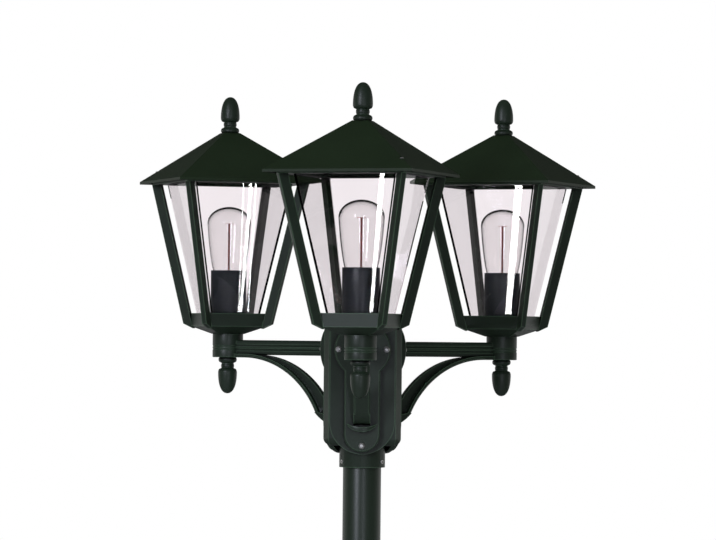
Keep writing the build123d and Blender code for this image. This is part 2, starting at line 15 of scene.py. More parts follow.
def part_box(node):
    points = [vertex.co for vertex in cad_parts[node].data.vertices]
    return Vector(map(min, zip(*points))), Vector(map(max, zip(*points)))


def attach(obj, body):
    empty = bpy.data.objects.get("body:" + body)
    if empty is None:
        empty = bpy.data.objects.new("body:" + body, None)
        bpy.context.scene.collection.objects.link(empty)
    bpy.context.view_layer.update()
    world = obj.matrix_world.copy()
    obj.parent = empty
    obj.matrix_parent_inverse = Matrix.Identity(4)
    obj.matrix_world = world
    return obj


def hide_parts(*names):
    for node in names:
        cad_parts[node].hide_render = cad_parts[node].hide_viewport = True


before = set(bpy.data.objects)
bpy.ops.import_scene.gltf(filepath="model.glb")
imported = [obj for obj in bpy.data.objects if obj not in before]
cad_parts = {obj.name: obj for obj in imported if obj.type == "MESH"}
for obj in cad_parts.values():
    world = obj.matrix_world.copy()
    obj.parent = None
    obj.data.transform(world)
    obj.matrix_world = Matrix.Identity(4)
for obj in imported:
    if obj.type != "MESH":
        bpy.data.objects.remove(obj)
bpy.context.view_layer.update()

bl_info = {
    "name": "Triple Head Lamp Post",
    "version": (1, 0, 0),
    "blender": (4, 5, 0),
    "location": "3D View > Sidebar > Lamp Post",
    "description": "Finishes the castings, glass and bulbs of a triple head lamp post",
    "category": "Object",
}

SIDES = ("front", "left", "right")
CAST_NODES = ("arm_casting", "lantern_base", "lantern_ribs", "top_ring", "pendant_finial", "roof_finial")
MILLIMETRE = 0.001

# Mesh work
ON_AXIS = 1e-6
SHARP_ANGLE = math.radians(35)
WELD_DISTANCE = 0.01 * MILLIMETRE
BEVEL_ANGLE = math.radians(28)
BEVEL_SEGMENTS = 3
SLEEVE_ROUND = 0.3 * MILLIMETRE
HOLDER_ROUND = 0.4 * MILLIMETRE

# Values of noise over which tints and polish are spread
CLOUD_RANGE = (0.35, 0.68)
SMUDGE_RANGE = (0.35, 0.7)
PATCH_RANGE = (0.35, 0.65)
FULL_RANGE = (0.3, 0.7)
# Cosine between a surface and its softened copy where the painted highlight on an edge begins, and where it
# is full.
EDGE_HIGHLIGHT_RANGE = (0.985, 0.92)
# Openness of a spot where the painted crevice shade is darkest, and where it ends.
CREVICE_SHADE_RANGE = (0.4, 0.92)

# Bulb, whose neck is NECK_RADIUS where its radius is FULL_RADIUS
FULL_RADIUS = 35 * MILLIMETRE
NECK_RADIUS = 12.3 * MILLIMETRE
NECK_SPREAD = 1.2 * MILLIMETRE
NECK_STRAIGHT = 6 * MILLIMETRE
NECK_END = 14 * MILLIMETRE
SHOULDER_SHARE = 0.66
CROWN_RISE = 0.76
SKIN_GAP = 0.1 * MILLIMETRE
SLEEVE_CLEARANCE = 3.4 * MILLIMETRE
CAP_SKIRT = 3 * MILLIMETRE
# The thread deepens over one part in so many of the cap, and ends over one part in so many.
THREAD_RUN_IN, THREAD_RUN_OUT = 8, 5
CONTACT_RADIUS = 5 * MILLIMETRE
CONTACT_CHAMFER = (0.4 * MILLIMETRE, 0.6 * MILLIMETRE)
COIL_RADIUS = 1.25 * MILLIMETRE
COIL_WIRE = 0.7 * MILLIMETRE
COIL_TURNS = 50
BAR_WIRE = 0.45 * MILLIMETRE
BAR_DROP = 0.9 * MILLIMETRE

# Studio
PICTURE = (716, 540)
SENSOR = 36.0
PIXEL_SPREAD = SENSOR / PICTURE[0]
COOL_LIGHT = (0.92, 0.95, 1.1)
LANTERN_LEVEL = (0.0, 0.0, 2.0)
GROUND = (0.0, 0.0, 0.0)
FLOOR_SIZE = 7.0
FLOOR_STEPS = 40
VIEW_LIMIT = 60.0
# Part of a direction along Y or Z over which the studio turns into the backdrop or the ceiling
BACKDROP_RANGE = (-0.1, 0.5)
CEILING_RANGE = (0.02, 0.3)

# Streaks mirrored in the panes: lantern, top and bottom in the picture, width in the picture, and how far
# from the pane the mirrored light's two ends stand.
STREAKS = (
    ("front", (382.4, 172.0), (370.6, 318.0), 5.6, 1.5, 5.2),
    ("left", (243.9, 180.0), (238.2, 318.0), 0.9, 0.08, 0.1),
    ("left", (251.4, 180.0), (240.2, 318.0), 3.3, 0.08, 0.1),
    ("left", (256.4, 180.0), (247.6, 318.0), 1.3, 0.08, 0.1),
    ("right", (517.4, 180.0), (506.6, 320.0), 4.6, 0.08, 0.1),
    ("right", (521.4, 180.0), (509.0, 320.0), 4.0, 0.08, 0.1),
)


# Node trees


def new_material(name):
    """Empty node material with a surface shader already on its output."""
    material = bpy.data.materials.new(name)
    material.use_nodes = True
    tree = material.node_tree
    tree.nodes.clear()
    output = tree.nodes.new("ShaderNodeOutputMaterial")
    shader = tree.nodes.new("ShaderNodeBsdfPrincipled")
    tree.links.new(shader.outputs["BSDF"], output.inputs["Surface"])
    return material, tree, shader


def object_coordinates(tree):
    """Coordinates in metres that stay with the piece."""
    return tree.nodes.new("ShaderNodeTexCoord").outputs["Object"]


def noise(tree, vector, scale, detail=4.0, roughness=0.55):
    """Noise with features of about 1 / scale metres."""
    node = tree.nodes.new("ShaderNodeTexNoise")
    node.inputs["Scale"].default_value = scale
    node.inputs["Detail"].default_value = detail
    node.inputs["Roughness"].default_value = roughness
    tree.links.new(vector, node.inputs["Vector"])
    return node.outputs["Fac"]


def remap(tree, value, low, high, to_low, to_high):
    """Value moved from one range to another, kept inside it."""
    node = tree.nodes.new("ShaderNodeMapRange")
    node.inputs["From Min"].default_value = low
    node.inputs["From Max"].default_value = high
    node.inputs["To Min"].default_value = to_low
    node.inputs["To Max"].default_value = to_high
    tree.links.new(value, node.inputs["Value"])
    return node.outputs["Result"]


def between(tree, value, limits):
    """Share of the way from the first limit to the second, kept between zero and one."""
    return remap(tree, value, *limits, 0.0, 1.0)


def blend_colours(tree, factor, first, second):
    """Colour between two colours, the first of which may come from another node."""
    node = tree.nodes.new("ShaderNodeMix")
    node.data_type = "RGBA"
    tree.links.new(factor, node.inputs["Factor"])
    for socket, colour in ((node.inputs["A"], first), (node.inputs["B"], second)):
        if isinstance(colour, bpy.types.NodeSocket):
            tree.links.new(colour, socket)
        else:
            socket.default_value = (*colour[:3], 1.0)
    return node.outputs["Result"]


def bump(tree, height, distance, strength=1.0, below=None):
    """Surface relief of a given depth in metres, laid over another relief if there is one."""
    node = tree.nodes.new("ShaderNodeBump")
    node.inputs["Distance"].default_value = distance
    node.inputs["Strength"].default_value = strength
    tree.links.new(height, node.inputs["Height"])
    if below is not None:
        tree.links.new(below, node.inputs["Normal"])
    return node.outputs["Normal"]


def mottled(tree, factor, colour, low, high):
    """Colour that wanders between two shares of itself."""
    return blend_colours(tree, factor, scaled(colour, low), scaled(colour, high))


def uneven_polish(tree, value, roughness, below, above, shader):
    """Roughness that wanders from a step below a value to a step above it."""
    polish = remap(tree, value, *FULL_RANGE, roughness - below, roughness + above)
    tree.links.new(polish, shader.inputs["Roughness"])


def painted_edge_highlight(tree, reach):
    """Mask for a painted highlight: one along edges and corners and zero on flat ground, within a reach in
    metres.
    """
    geometry = tree.nodes.new("ShaderNodeNewGeometry")
    softened = tree.nodes.new("ShaderNodeBevel")
    softened.samples = 6
    softened.inputs["Radius"].default_value = reach
    along = tree.nodes.new("ShaderNodeVectorMath")
    along.operation = "DOT_PRODUCT"
    tree.links.new(geometry.outputs["Normal"], along.inputs[0])
    tree.links.new(softened.outputs["Normal"], along.inputs[1])
    return between(tree, along.outputs["Value"], EDGE_HIGHLIGHT_RANGE)


def painted_crevice_shade(tree, reach):
    """Mask for painted shade: one deep in gaps and zero in the open, within a reach in metres."""
    deepest, open_ground = CREVICE_SHADE_RANGE
    node = tree.nodes.new("ShaderNodeAmbientOcclusion")
    node.samples = 8
    node.inputs["Distance"].default_value = reach
    return remap(tree, node.outputs["AO"], deepest, open_ground, 1.0, 0.0)


def scaled(colour, share):
    """Colour made darker or lighter by a share."""
    return tuple(min(1.0, channel * share) for channel in colour[:3])


# Materials


def casting_paint(look):
    """Satin stove paint over the soft skin of a sand casting, with painted highlights on its edges and
    painted shade in its gaps.
    """
    material, tree, shader = new_material("casting_paint")
    place = object_coordinates(tree)
    cloud = noise(tree, place, scale=14.0, detail=5.0)
    grain = noise(tree, place, scale=look.grain_frequency, detail=3.0, roughness=0.6)
    peel = noise(tree, place, scale=look.peel_frequency, detail=2.0, roughness=0.4)
    paint = mottled(tree, between(tree, cloud, CLOUD_RANGE), look.paint, low=0.88, high=1.16)
    # Painted highlight: edges and corners lightened up to five times the paint's colour, as if they caught
    # the light.
    paint = blend_colours(tree, painted_edge_highlight(tree, 2.4 * MILLIMETRE), paint, scaled(look.paint, 5.0))
    # Painted shade: gaps and recesses darkened towards a twentieth of the paint's colour.
    paint = blend_colours(tree, painted_crevice_shade(tree, 10 * MILLIMETRE), paint, scaled(look.paint, 0.05))
    tree.links.new(paint, shader.inputs["Base Color"])
    uneven_polish(tree, grain, look.paint_roughness, below=0.05, above=0.07, shader=shader)
    relief = bump(tree, grain, distance=0.25 * MILLIMETRE, strength=0.55)
    relief = bump(tree, peel, distance=0.08 * MILLIMETRE, strength=0.5, below=relief)
    tree.links.new(relief, shader.inputs["Normal"])
    shader.inputs["Specular IOR Level"].default_value = 0.4
    shader.inputs["Coat Weight"].default_value = 0.08
    shader.inputs["Coat Roughness"].default_value = 0.3
    return material


def roof_paint(look):
    """The same paint on the smooth upper side of a roof, duller from the weather, with painted shade in its
    gaps.
    """
    material, tree, shader = new_material("roof_paint")
    place = object_coordinates(tree)
    cloud = noise(tree, place, scale=9.0, detail=5.0)
    grain = noise(tree, place, scale=look.grain_frequency, detail=3.0, roughness=0.6)
    paint = mottled(tree, between(tree, cloud, CLOUD_RANGE), look.roof_paint, low=0.92, high=1.1)
    # Painted shade: gaps darkened towards a tenth of the roof paint's colour.
    paint = blend_colours(tree, painted_crevice_shade(tree, 6 * MILLIMETRE), paint, scaled(look.roof_paint, 0.1))
    tree.links.new(paint, shader.inputs["Base Color"])
    uneven_polish(tree, grain, look.paint_roughness, below=-0.05, above=0.15, shader=shader)
    relief = bump(tree, grain, distance=0.2 * MILLIMETRE, strength=0.5)
    tree.links.new(relief, shader.inputs["Normal"])
    shader.inputs["Specular IOR Level"].default_value = 0.22
    return material


def tube_paint(look):
    """The same paint on drawn steel tube: smoother, with faint runs down the length."""
    material, tree, shader = new_material("tube_paint")
    place = object_coordinates(tree)
    stretch = tree.nodes.new("ShaderNodeMapping")
    stretch.inputs["Scale"].default_value = (1.0, 1.0, 0.08)
    tree.links.new(place, stretch.inputs["Vector"])
    runs = noise(tree, stretch.outputs["Vector"], scale=60.0, detail=4.0)
    peel = noise(tree, place, scale=look.peel_frequency, detail=2.0, roughness=0.4)
    paint = mottled(tree, between(tree, runs, FULL_RANGE), look.paint, low=0.94, high=1.1)
    tree.links.new(paint, shader.inputs["Base Color"])
    uneven_polish(tree, runs, look.paint_roughness, below=0.07, above=0.0, shader=shader)
    relief = bump(tree, peel, distance=0.06 * MILLIMETRE, strength=0.5)
    tree.links.new(relief, shader.inputs["Normal"])
    shader.inputs["Coat Weight"].default_value = 0.08
    shader.inputs["Coat Roughness"].default_value = 0.3
    return material


def clear_glass(name, colour, refraction, waves, relief_depth, relief_strength):
    """Clear glass, faintly tinted, with a soft ripple."""
    material, tree, shader = new_material(name)
    ripple = noise(tree, object_coordinates(tree), scale=waves, detail=1.0, roughness=0.3)
    tint = blend_colours(tree, between(tree, ripple, FULL_RANGE), colour, scaled(colour, 0.985))
    tree.links.new(tint, shader.inputs["Base Color"])
    relief = bump(tree, ripple, distance=relief_depth, strength=relief_strength)
    tree.links.new(relief, shader.inputs["Normal"])
    shader.inputs["Transmission Weight"].default_value = 1.0
    shader.inputs["Roughness"].default_value = 0.0
    shader.inputs["IOR"].default_value = refraction
    return material


def pane_glass(look):
    """Flat window glass, faintly wavy and tinted, mirroring less than plain glass does."""
    return clear_glass(
        "pane_glass", look.glass, refraction=1.3, waves=22.0,
        relief_depth=0.02 * MILLIMETRE, relief_strength=0.15,
    )


def bulb_clear_glass(look):
    """Thin blown glass, clear, with soft ripples from the mould."""
    return clear_glass(
        "bulb_clear_glass", look.bulb_tint, refraction=1.47, waves=35.0,
        relief_depth=0.05 * MILLIMETRE, relief_strength=0.4,
    )


def worn_metal(name, colour, roughness, brush_frequency):
    """Bare metal with fine turning marks and uneven polish."""
    material, tree, shader = new_material(name)
    place = object_coordinates(tree)
    marks = noise(tree, place, scale=brush_frequency, detail=3.0)
    smudge = noise(tree, place, scale=120.0, detail=3.0)
    tint = blend_colours(tree, between(tree, smudge, SMUDGE_RANGE), colour, scaled(colour, 0.72))
    tree.links.new(tint, shader.inputs["Base Color"])
    uneven_polish(tree, marks, roughness, below=0.08, above=0.1, shader=shader)
    relief = bump(tree, marks, distance=0.03 * MILLIMETRE, strength=0.5)
    tree.links.new(relief, shader.inputs["Normal"])
    shader.inputs["Metallic"].default_value = 1.0
    return material


def moulded(name, colour, roughness, grain):
    """Moulded plastic or fired clay with a fine, uneven skin."""
    material, tree, shader = new_material(name)
    place = object_coordinates(tree)
    skin = noise(tree, place, scale=grain, detail=3.0)
    cloud = noise(tree, place, scale=30.0, detail=3.0)
    tint = mottled(tree, between(tree, cloud, SMUDGE_RANGE), colour, low=0.9, high=1.12)
    tree.links.new(tint, shader.inputs["Base Color"])
    uneven_polish(tree, skin, roughness, below=0.05, above=0.08, shader=shader)
    relief = bump(tree, skin, distance=0.05 * MILLIMETRE, strength=0.5)
    tree.links.new(relief, shader.inputs["Normal"])
    return material


def filament_metal(look):
    """Red oxidised wire, darker in patches."""
    material, tree, shader = new_material("filament_metal")
    patches = noise(tree, object_coordinates(tree), scale=300.0, detail=3.0)
    tint = blend_colours(
        tree, between(tree, patches, PATCH_RANGE), look.filament, scaled(look.filament, 0.6)
    )
    tree.links.new(tint, shader.inputs["Base Color"])
    shader.inputs["Roughness"].default_value = 0.45
    return material


# Mesh work


def keep_mesh(name, mesh_builder, material, body, replaced=()):
    """Turns mesh data into a piece that rides on a body and may stand for CAD nodes."""
    mesh = bpy.data.meshes.new(name)
    mesh_builder.to_mesh(mesh)
    mesh_builder.free()
    mesh.polygons.foreach_set("use_smooth", [True] * len(mesh.polygons))
    mesh.set_sharp_from_angle(angle=SHARP_ANGLE)
    mesh.materials.append(material)
    piece = bpy.data.objects.new(name, mesh)
    bpy.context.collection.objects.link(piece)
    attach(piece, body)
    if replaced:
        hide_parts(*replaced)
    return piece


def lathe(builder, profile, centre, segments):
    """Adds a turned surface through (radius, height) points about an upright axis."""
    rings = []
    for radius, height in profile:
        if radius < ON_AXIS:
            rings.append([builder.verts.new((centre.x, centre.y, height))])
            continue
        rings.append(
            [
                builder.verts.new(
                    (
                        centre.x + radius * math.cos(2 * math.pi * step / segments),
                        centre.y + radius * math.sin(2 * math.pi * step / segments),
                        height,
                    )
                )
                for step in range(segments)
            ]
        )
    join_rings(builder, rings, segments)


def join_rings(builder, rings, segments):
    """Faces between rings of points that follow each other, where a single point closes a ring."""
    for lower, upper in zip(rings, rings[1:]):
        for step in range(segments):
            following = (step + 1) % segments
            if len(lower) == 1 and len(upper) == 1:
                continue
            if len(lower) == 1:
                builder.faces.new((lower[0], upper[following], upper[step]))
            elif len(upper) == 1:
                builder.faces.new((lower[step], lower[following], upper[0]))
            else:
                builder.faces.new((lower[step], lower[following], upper[following], upper[step]))


def wire_along(builder, points, radius, segments=10):
    """Adds a round wire with flat ends through points."""
    rings = []
    for index, point in enumerate(points):
        before = points[max(index - 1, 0)]
        after = points[min(index + 1, len(points) - 1)]
        direction = (after - before).normalized()
        side = direction.orthogonal().normalized()
        if rings:
            side = (previous_side - direction * previous_side.dot(direction)).normalized()
        previous_side = side
        across = direction.cross(side)
        rings.append(
            [
                builder.verts.new(
                    point
                    + radius * math.cos(2 * math.pi * step / segments) * side
                    + radius * math.sin(2 * math.pi * step / segments) * across
                )
                for step in range(segments)
            ]
        )
    join_rings(builder, rings, segments)
    builder.faces.new(rings[0][::-1])
    builder.faces.new(rings[-1])


def arc_points(centre, radius, start, end, steps):
    """(radius, height) points round an arc in the profile plane, angles in degrees."""
    points = []
    for step in range(steps + 1):
        angle = math.radians(start + (end - start) * step / steps)
        points.append((centre[0] + radius * math.cos(angle), centre[1] + radius * math.sin(angle)))
    return points


def smooth_curve(points, steps):
    """Points along a curve that passes smoothly through the given (radius, height) points."""
    result = []
    for index in range(len(points) - 1):
        before = points[max(index - 1, 0)]
        start, end = points[index], points[index + 1]
        after = points[min(index + 2, len(points) - 1)]
        for step in range(steps):
            share = step / steps
            result.append(
                tuple(
                    0.5
                    * (
                        2 * b
                        + (c - a) * share
                        + (2 * a - 5 * b + 4 * c - d) * share**2
                        + (3 * b - a - 3 * c + d) * share**3
                    )
                    for a, b, c, d in zip(before, start, end, after)
                )
            )
    return result + [points[-1]]


def dress(node, material, edge_round=0.0):
    """Gives a CAD node its finish and softly rounded edges."""
    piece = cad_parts[node]
    if not piece.material_slots:
        raise RuntimeError(f"{node} has no material slot")
    for holder in piece.material_slots:
        holder.material = material
    if edge_round > 0.0:
        weld = piece.modifiers.new("weld", "WELD")
        weld.merge_threshold = WELD_DISTANCE
        rounding = piece.modifiers.new("rounding", "BEVEL")
        rounding.width = edge_round
        rounding.segments = BEVEL_SEGMENTS
        rounding.limit_method = "ANGLE"
        rounding.angle_limit = BEVEL_ANGLE
        rounding.harden_normals = False
        rounding.use_clamp_overlap = True
    return piece


def upright_axis(node):
    """Centre of a node's box in plan, with its lowest and highest level."""
    low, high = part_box(node)
    return Vector(((low.x + high.x) / 2, (low.y + high.y) / 2, 0.0)), low.z, high.z


def half_width(node):
    """Half of a node's box along X."""
    low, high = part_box(node)
    return (high.x - low.x) / 2


# Settings


class LampPostFinish(bpy.types.PropertyGroup):
    """Paint, glass and metal finishes."""

    paint: FloatVectorProperty(
        name="Paint", description="Colour of the painted metal", subtype="COLOR", size=3, min=0, max=1,
        default=(0.0135, 0.025, 0.0145),
    )
    roof_paint: FloatVectorProperty(
        name="Roof Paint", description="Colour of the paint on the roofs", subtype="COLOR", size=3, min=0,
        max=1, default=(0.0135, 0.0265, 0.0105),
    )
    paint_roughness: FloatProperty(
        name="Paint Roughness", description="How dull the paint is", subtype="FACTOR", min=0.1, max=1,
        default=0.42,
    )
    grain_frequency: FloatProperty(
        name="Grain", description="Grains of the casting skin in one metre", default=420.0, min=50
    )
    peel_frequency: FloatProperty(
        name="Orange Peel", description="Ripples of the paint skin in one metre", default=900.0, min=50
    )
    edge_round: FloatProperty(
        name="Edge Rounding", description="Radius along the edges of a casting", unit="LENGTH",
        subtype="DISTANCE", default=0.8 * MILLIMETRE, min=0,
    )
    glass: FloatVectorProperty(
        name="Pane Tint", description="Light that one pane lets through", subtype="COLOR", size=3, min=0,
        max=1, default=(0.98, 0.946, 0.962),
    )
    bulb_tint: FloatVectorProperty(
        name="Bulb Tint", description="Light that one wall of a bulb lets through", subtype="COLOR", size=3,
        min=0, max=1, default=(0.985, 0.975, 0.975),
    )
    filament: FloatVectorProperty(
        name="Filament", description="Colour of the filament wire", subtype="COLOR", size=3, min=0, max=1,
        default=(0.95, 0.24, 0.21),
    )
    sleeve: FloatVectorProperty(
        name="Sleeve", description="Colour of the sleeve round a lampholder", subtype="COLOR", size=3,
        min=0, max=1, default=(0.026, 0.034, 0.038),
    )


class LampPostBulb(bpy.types.PropertyGroup):
    """Sizes of the bulbs."""

    wall: FloatProperty(
        name="Glass Wall", description="Thickness of the bulb's glass", unit="LENGTH", subtype="DISTANCE",
        default=0.7 * MILLIMETRE, min=0.0001,
    )
    crown_wall: FloatProperty(
        name="Crown Wall", description="Thickness of the glass at the top of a bulb", unit="LENGTH",
        subtype="DISTANCE", default=2.0 * MILLIMETRE, min=0.0001,
    )
    thread_pitch: FloatProperty(
        name="Thread Pitch", description="Rise of the cap's thread in one turn", unit="LENGTH",
        subtype="DISTANCE", default=3.6 * MILLIMETRE, min=0.001,
    )
    thread_depth: FloatProperty(
        name="Thread Depth", description="Depth of the cap's thread", unit="LENGTH", subtype="DISTANCE",
        default=0.9 * MILLIMETRE, min=0,
    )
    segments: IntProperty(name="Segments", description="Steps round a bulb", default=96, min=24, max=256)


class LampPostStudio(bpy.types.PropertyGroup):
    """Camera and light."""

    focal_length: FloatProperty(
        name="Focal Length", description="Lens of the camera in millimetres", default=185.2, min=10
    )
    camera_place: FloatVectorProperty(
        name="Camera Place", description="Where the camera stands", subtype="TRANSLATION", unit="LENGTH",
        size=3, default=(0.0966, -5.791, 1.9245),
    )
    camera_pitch: FloatProperty(
        name="Pitch", description="Tilt upwards", subtype="ANGLE", default=math.radians(0.99)
    )
    camera_turn: FloatProperty(
        name="Turn", description="Turn to the left", subtype="ANGLE", default=math.radians(1.05)
    )
    camera_roll: FloatProperty(
        name="Roll", description="Roll of the camera", subtype="ANGLE", default=math.radians(0.58)
    )
    front_light: FloatProperty(
        name="Front Light", description="Power of the front light in watts", default=62.0, min=0
    )
    side_light: FloatProperty(
        name="Side Light", description="Power of the side light in watts", default=22.0, min=0
    )
    top_light: FloatProperty(
        name="Top Light", description="Power of the top light in watts", default=8.0, min=0
    )
    strip_radiance: FloatProperty(
        name="Strip Light", description="Brightness of the strip lights that the panes mirror",
        default=70.0, min=0,
    )
    floor_glow: FloatProperty(
        name="Floor Glow", description="How much brighter the floor looks than its light makes it",
        default=0.42, min=0,
    )
    backdrop: FloatProperty(
        name="Backdrop", description="Brightness of the backdrop where a surface mirrors it",
        subtype="FACTOR", default=0.7, min=0, max=1,
    )
    ambient: FloatProperty(
        name="Ambient Light", description="Light that reaches matt surfaces from all round",
        subtype="FACTOR", default=0.4, min=0, max=1,
    )
    inside_glass: FloatProperty(
        name="Inside Glass", subtype="FACTOR", default=0.3, min=0, max=1,
        description="Share of the surroundings that shows mirrored inside the lanterns",
    )
    camera_side: FloatProperty(
        name="Camera Side", description="Brightness of the studio in front of the backdrop",
        subtype="FACTOR", default=0.12, min=0, max=1,
    )
    ceiling: FloatProperty(
        name="Ceiling", description="Brightness of the studio overhead", subtype="FACTOR",
        default=0.05, min=0, max=1,
    )


# Pieces


class LAMPPOST_OT_castings(bpy.types.Operator):
    """Paint the hub, arms, lantern frames and roofs"""

    bl_idname = "lamppost.castings"
    bl_label = "Paint Castings"

    def execute(self, context):
        look = context.scene.lamppost_finish
        paint = casting_paint(look)
        nodes = ["hub_casting", "hub_cap"] + [f"{name}_{side}" for side in SIDES for name in CAST_NODES]
        for node in nodes:
            dress(node, paint, look.edge_round)
        roof = roof_paint(look)
        for side in SIDES:
            dress(f"roof_{side}", roof, look.edge_round)
        return {"FINISHED"}


class LAMPPOST_OT_post(bpy.types.Operator):
    """Paint the post tube and its foot"""

    bl_idname = "lamppost.post"
    bl_label = "Paint Post"

    def execute(self, context):
        look = context.scene.lamppost_finish
        dress("post_tube", tube_paint(look), look.edge_round)
        dress("foot_casting", bpy.data.materials["casting_paint"], look.edge_round)
        return {"FINISHED"}


class LAMPPOST_OT_fasteners(bpy.types.Operator):
    """Finish the screws, studs and nuts"""

    bl_idname = "lamppost.fasteners"
    bl_label = "Finish Fasteners"

    def execute(self, context):
        steel = worn_metal("stainless_screw", (0.92, 0.91, 0.88), roughness=0.5, brush_frequency=900.0)
        zinc = worn_metal("zinc_plate", (0.5, 0.52, 0.55), roughness=0.35, brush_frequency=700.0)
        for node in ("foot_set_screws", "collar_set_screws", "hub_cap_screws", "arm_plate_screws"):
            dress(node, steel)
        dress("stud_nuts", zinc)
        for side in SIDES:
            dress(f"roof_screws_{side}", steel)
            dress(f"lantern_stud_{side}", zinc)
        return {"FINISHED"}


class LAMPPOST_OT_panes(bpy.types.Operator):
    """Glaze the lanterns"""

    bl_idname = "lamppost.panes"
    bl_label = "Glaze Lanterns"

    def execute(self, context):
        glass = pane_glass(context.scene.lamppost_finish)
        for side in SIDES:
            dress(f"glass_panes_{side}", glass)
        return {"FINISHED"}


class LAMPPOST_OT_holders(bpy.types.Operator):
    """Finish the sleeves, lampholders and terminal block"""

    bl_idname = "lamppost.holders"
    bl_label = "Finish Lampholders"

    def execute(self, context):
        look = context.scene.lamppost_finish
        sleeve = moulded("sleeve_plastic", look.sleeve, roughness=0.38, grain=500.0)
        clay = moulded("holder_ceramic", (0.78, 0.76, 0.7), roughness=0.45, grain=400.0)
        block = moulded("terminal_plastic", (0.7, 0.69, 0.62), roughness=0.5, grain=500.0)
        for side in SIDES:
            dress(f"lamp_sleeve_{side}", sleeve, SLEEVE_ROUND)
            dress(f"lampholder_{side}", clay, HOLDER_ROUND)
        dress("terminal_block", block, HOLDER_ROUND)
        return {"FINISHED"}


class LAMPPOST_OT_bulbs(bpy.types.Operator):
    """Blow the clear bulbs, with their caps and filaments"""

    bl_idname = "lamppost.bulbs"
    bl_label = "Make Bulbs"

    def execute(self, context):
        look = context.scene.lamppost_finish
        sizes = context.scene.lamppost_bulb
        glass = bulb_clear_glass(look)
        brass = worn_metal("cap_brass", (0.72, 0.55, 0.28), roughness=0.3, brush_frequency=600.0)
        wire = filament_metal(look)
        for side in SIDES:
            body = f"bulb_{side}_body"
            self.envelope(side, body, glass, sizes)
            self.cap(side, body, brass, sizes)
            self.stem(side, body, glass)
            self.filament(side, body, wire)
        return {"FINISHED"}

    def envelope(self, side, body, glass, sizes):
        """Hollow pear of thin glass, with its inner wall facing inwards."""
        node = f"bulb_glass_{side}"
        centre, low, high = upright_axis(node)
        sleeve_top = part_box(f"lamp_sleeve_{side}")[1].z
        radius = half_width(node) - SKIN_GAP
        mouth = half_width(f"lamp_sleeve_{side}") - SLEEVE_CLEARANCE
        wall = sizes.wall
        outer = self.pear(radius, mouth, low, sleeve_top, high)
        inner = self.pear(radius - wall, mouth - wall, low + wall, sleeve_top, high - sizes.crown_wall)
        builder = bmesh.new()
        lathe(builder, outer, centre, sizes.segments)
        outer_faces = len(builder.faces)
        lathe(builder, inner, centre, sizes.segments)
        builder.faces.ensure_lookup_table()
        bmesh.ops.reverse_faces(builder, faces=builder.faces[outer_faces:])
        keep_mesh(f"bulb_envelope_{side}", builder, glass, body, [node])

    def pear(self, radius, mouth, low, mouth_level, high):
        """Outline of a bulb from its neck to its flattened crown, as a closed turned shape."""
        neck = NECK_RADIUS - (FULL_RADIUS - radius)
        widest = high - radius * CROWN_RISE
        shoulder = mouth + (radius - mouth) * SHOULDER_SHARE
        side = smooth_curve(
            [
                (neck, low + NECK_STRAIGHT),
                (neck + NECK_SPREAD, low + NECK_END),
                (mouth, mouth_level),
                (shoulder, (mouth_level + widest) / 2),
                (radius, widest),
            ],
            steps=10,
        )
        crown = [
            (across, widest + (height - widest) * CROWN_RISE)
            for across, height in arc_points((0.0, widest), radius, start=0, end=90, steps=24)[1:-1]
        ]
        return [(0.0, low), (neck, low)] + side + crown + [(0.0, high)]

    def cap(self, side, body, brass, sizes):
        """Threaded screw cap with an insulated contact."""
        node = f"bulb_cap_{side}"
        centre, low, high = upright_axis(node)
        radius = half_width(node)
        shell_low = low + CAP_SKIRT
        edge, rise = CONTACT_CHAMFER
        contact = [(CONTACT_RADIUS - edge, low), (CONTACT_RADIUS, low + rise), (CONTACT_RADIUS, shell_low)]
        segments, rows = 64, 56
        builder = bmesh.new()
        rings = [[builder.verts.new((centre.x, centre.y, low))]]
        for spot in contact:
            rings.append(self.ring(builder, centre, segments, lambda angle: spot))
        for row in range(rows + 1):
            level = row / rows
            fade = min(1.0, THREAD_RUN_IN * level, THREAD_RUN_OUT * (1 - level))
            height = shell_low + (high - shell_low) * level

            def threaded(angle):
                turn = 2 * math.pi * (height - shell_low) / sizes.thread_pitch - angle
                crest = 0.5 - 0.5 * math.cos(turn)
                return radius - sizes.thread_depth * (1.0 - crest * fade), height

            rings.append(self.ring(builder, centre, segments, threaded))
        rings.append([builder.verts.new((centre.x, centre.y, high))])
        join_rings(builder, rings, segments)
        keep_mesh(f"bulb_screw_cap_{side}", builder, brass, body, [node])

    def ring(self, builder, centre, segments, shape):
        """Ring of points whose radius and height may change round it."""
        ring = []
        for step in range(segments):
            angle = 2 * math.pi * step / segments
            radius, height = shape(angle)
            ring.append(
                builder.verts.new(
                    (centre.x + radius * math.cos(angle), centre.y + radius * math.sin(angle), height)
                )
            )
        return ring

    def stem(self, side, body, glass):
        """Glass mount: a flare, a pinch and a thin rod with a bead on top."""
        node = f"bulb_stem_{side}"
        centre, low, high = upright_axis(node)
        mm = MILLIMETRE
        foot = low + 0.8 * mm
        profile = smooth_curve(
            [
                (6.0 * mm, foot), (5.2 * mm, low + 3 * mm), (3.2 * mm, low + 9 * mm),
                (2.6 * mm, low + 18 * mm), (2.2 * mm, low + 24 * mm), (1.1 * mm, low + 29 * mm),
                (1.0 * mm, high - 8 * mm), (1.1 * mm, high - 4 * mm), (1.4 * mm, high - 1.5 * mm),
            ],
            steps=6,
        )
        profile = [(0.0, foot)] + profile + [(0.9 * mm, high - 0.3 * mm), (0.0, high)]
        builder = bmesh.new()
        lathe(builder, profile, centre, segments=24)
        keep_mesh(f"bulb_mount_{side}", builder, glass, body, [node])

